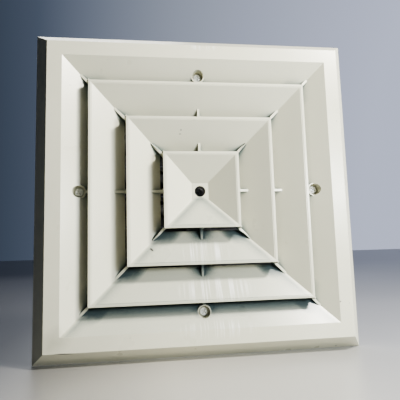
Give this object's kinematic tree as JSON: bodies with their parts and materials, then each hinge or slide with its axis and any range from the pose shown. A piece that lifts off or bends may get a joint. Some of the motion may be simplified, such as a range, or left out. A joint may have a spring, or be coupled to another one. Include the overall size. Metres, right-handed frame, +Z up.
{
  "type": "ceiling air diffuser",
  "caption": "Square four-way ceiling air diffuser: stepped cones in a bevelled face, square neck, and an opposed-blade damper set through the centre hole.",
  "frame": {"origin": "centre of the duct opening, in the plane of the rim's back edge, which meets the ceiling", "axes": "the part stands on edge as pictured: the face looks along -Y, the neck points along +Y into the duct, +Z is up and the damper's blades run along X with their gears at -X; turned 90 degrees about X it hangs face down in a ceiling"},
  "size_m": [0.3048, 0.0714, 0.3048],
  "materials": {
    "face_plastic": "semi-gloss",
    "painted_screw": "semi-gloss",
    "collar_plastic": "satin",
    "foam": "matte",
    "damper_aluminium": "black anodised",
    "nylon": "satin",
    "zinc_steel": "black zinc plated"
  },
  "bodies": {
    "housing": {"face_frame": "face_plastic", "outer_cone": "face_plastic", "middle_cone": "face_plastic", "centre_cone": "face_plastic", "outer_ribs": "face_plastic", "middle_ribs": "face_plastic", "centre_ribs": "face_plastic", "face_screw_1": "painted_screw", "face_screw_2": "painted_screw", "face_screw_3": "painted_screw", "face_screw_4": "painted_screw", "back_collar": "collar_plastic", "ceiling_gasket": "foam", "damper_gear_channel": "damper_aluminium", "damper_plain_channel": "damper_aluminium", "damper_end_channel_1": "damper_aluminium", "damper_end_channel_2": "damper_aluminium", "damper_corner_keys": "nylon", "damper_rivets": "zinc_steel", "gear_cover": "damper_aluminium", "pivot_bushes_gear": "nylon", "pivot_bushes_plain": "nylon", "operator_strap": "zinc_steel", "nut_guide": "zinc_steel", "operator_rivets": "zinc_steel"},
    "blade_1": {"blade_1": "damper_aluminium", "blade_gear_1": "nylon"},
    "blade_2": {"blade_2": "damper_aluminium", "blade_gear_2": "nylon"},
    "blade_3": {"blade_3": "damper_aluminium", "blade_gear_3": "nylon"},
    "blade_4": {"blade_4": "damper_aluminium", "blade_gear_4": "nylon", "drive_pinion": "nylon"},
    "blade_5": {"blade_5": "damper_aluminium", "blade_gear_5": "nylon"},
    "blade_6": {"blade_6": "damper_aluminium", "blade_gear_6": "nylon"},
    "operator_screw": {"operator_screw": "zinc_steel", "retaining_ring": "zinc_steel"},
    "operator_nut": {"operator_nut": "nylon"}
  },
  "joints": [
    {"name": "blade_4_turn", "type": "hinge", "parent": "housing", "child": "blade_4", "pos_m": [0, 0.03, -0.0157], "axis": [1, 0, 0], "range_deg": [-90, 0]},
    {"name": "blade_1_turn", "type": "hinge", "parent": "housing", "child": "blade_1", "pos_m": [0, 0.03, 0.0785], "axis": [1, 0, 0], "range_deg": [0, 90]},
    {"name": "blade_2_turn", "type": "hinge", "parent": "housing", "child": "blade_2", "pos_m": [0, 0.03, 0.0471], "axis": [1, 0, 0], "range_deg": [-90, 0]},
    {"name": "blade_3_turn", "type": "hinge", "parent": "housing", "child": "blade_3", "pos_m": [0, 0.03, 0.0157], "axis": [1, 0, 0], "range_deg": [0, 90]},
    {"name": "blade_5_turn", "type": "hinge", "parent": "housing", "child": "blade_5", "pos_m": [0, 0.03, -0.0471], "axis": [1, 0, 0], "range_deg": [0, 90]},
    {"name": "blade_6_turn", "type": "hinge", "parent": "housing", "child": "blade_6", "pos_m": [0, 0.03, -0.0785], "axis": [1, 0, 0], "range_deg": [-90, 0]},
    {"name": "operator_nut_travel", "type": "slide", "parent": "housing", "child": "operator_nut", "axis": [0, 1, 0], "range_m": [0, 0.01257]},
    {"name": "operator_turn", "type": "hinge", "parent": "housing", "child": "operator_screw", "pos_m": [0, 0.02, 0], "axis": [0, 1, 0], "range_deg": [-905, 0]}
  ],
  "couplings": [
    {"joint": "blade_1_turn", "follows": "blade_4_turn", "ratio": -1},
    {"joint": "blade_2_turn", "follows": "blade_4_turn", "ratio": 1},
    {"joint": "blade_3_turn", "follows": "blade_4_turn", "ratio": -1},
    {"joint": "blade_5_turn", "follows": "blade_4_turn", "ratio": -1},
    {"joint": "blade_6_turn", "follows": "blade_4_turn", "ratio": 1},
    {"joint": "operator_nut_travel", "follows": "blade_4_turn", "m_per_rad": -0.008},
    {"joint": "operator_turn", "follows": "blade_4_turn", "ratio": 10.053}
  ]
}
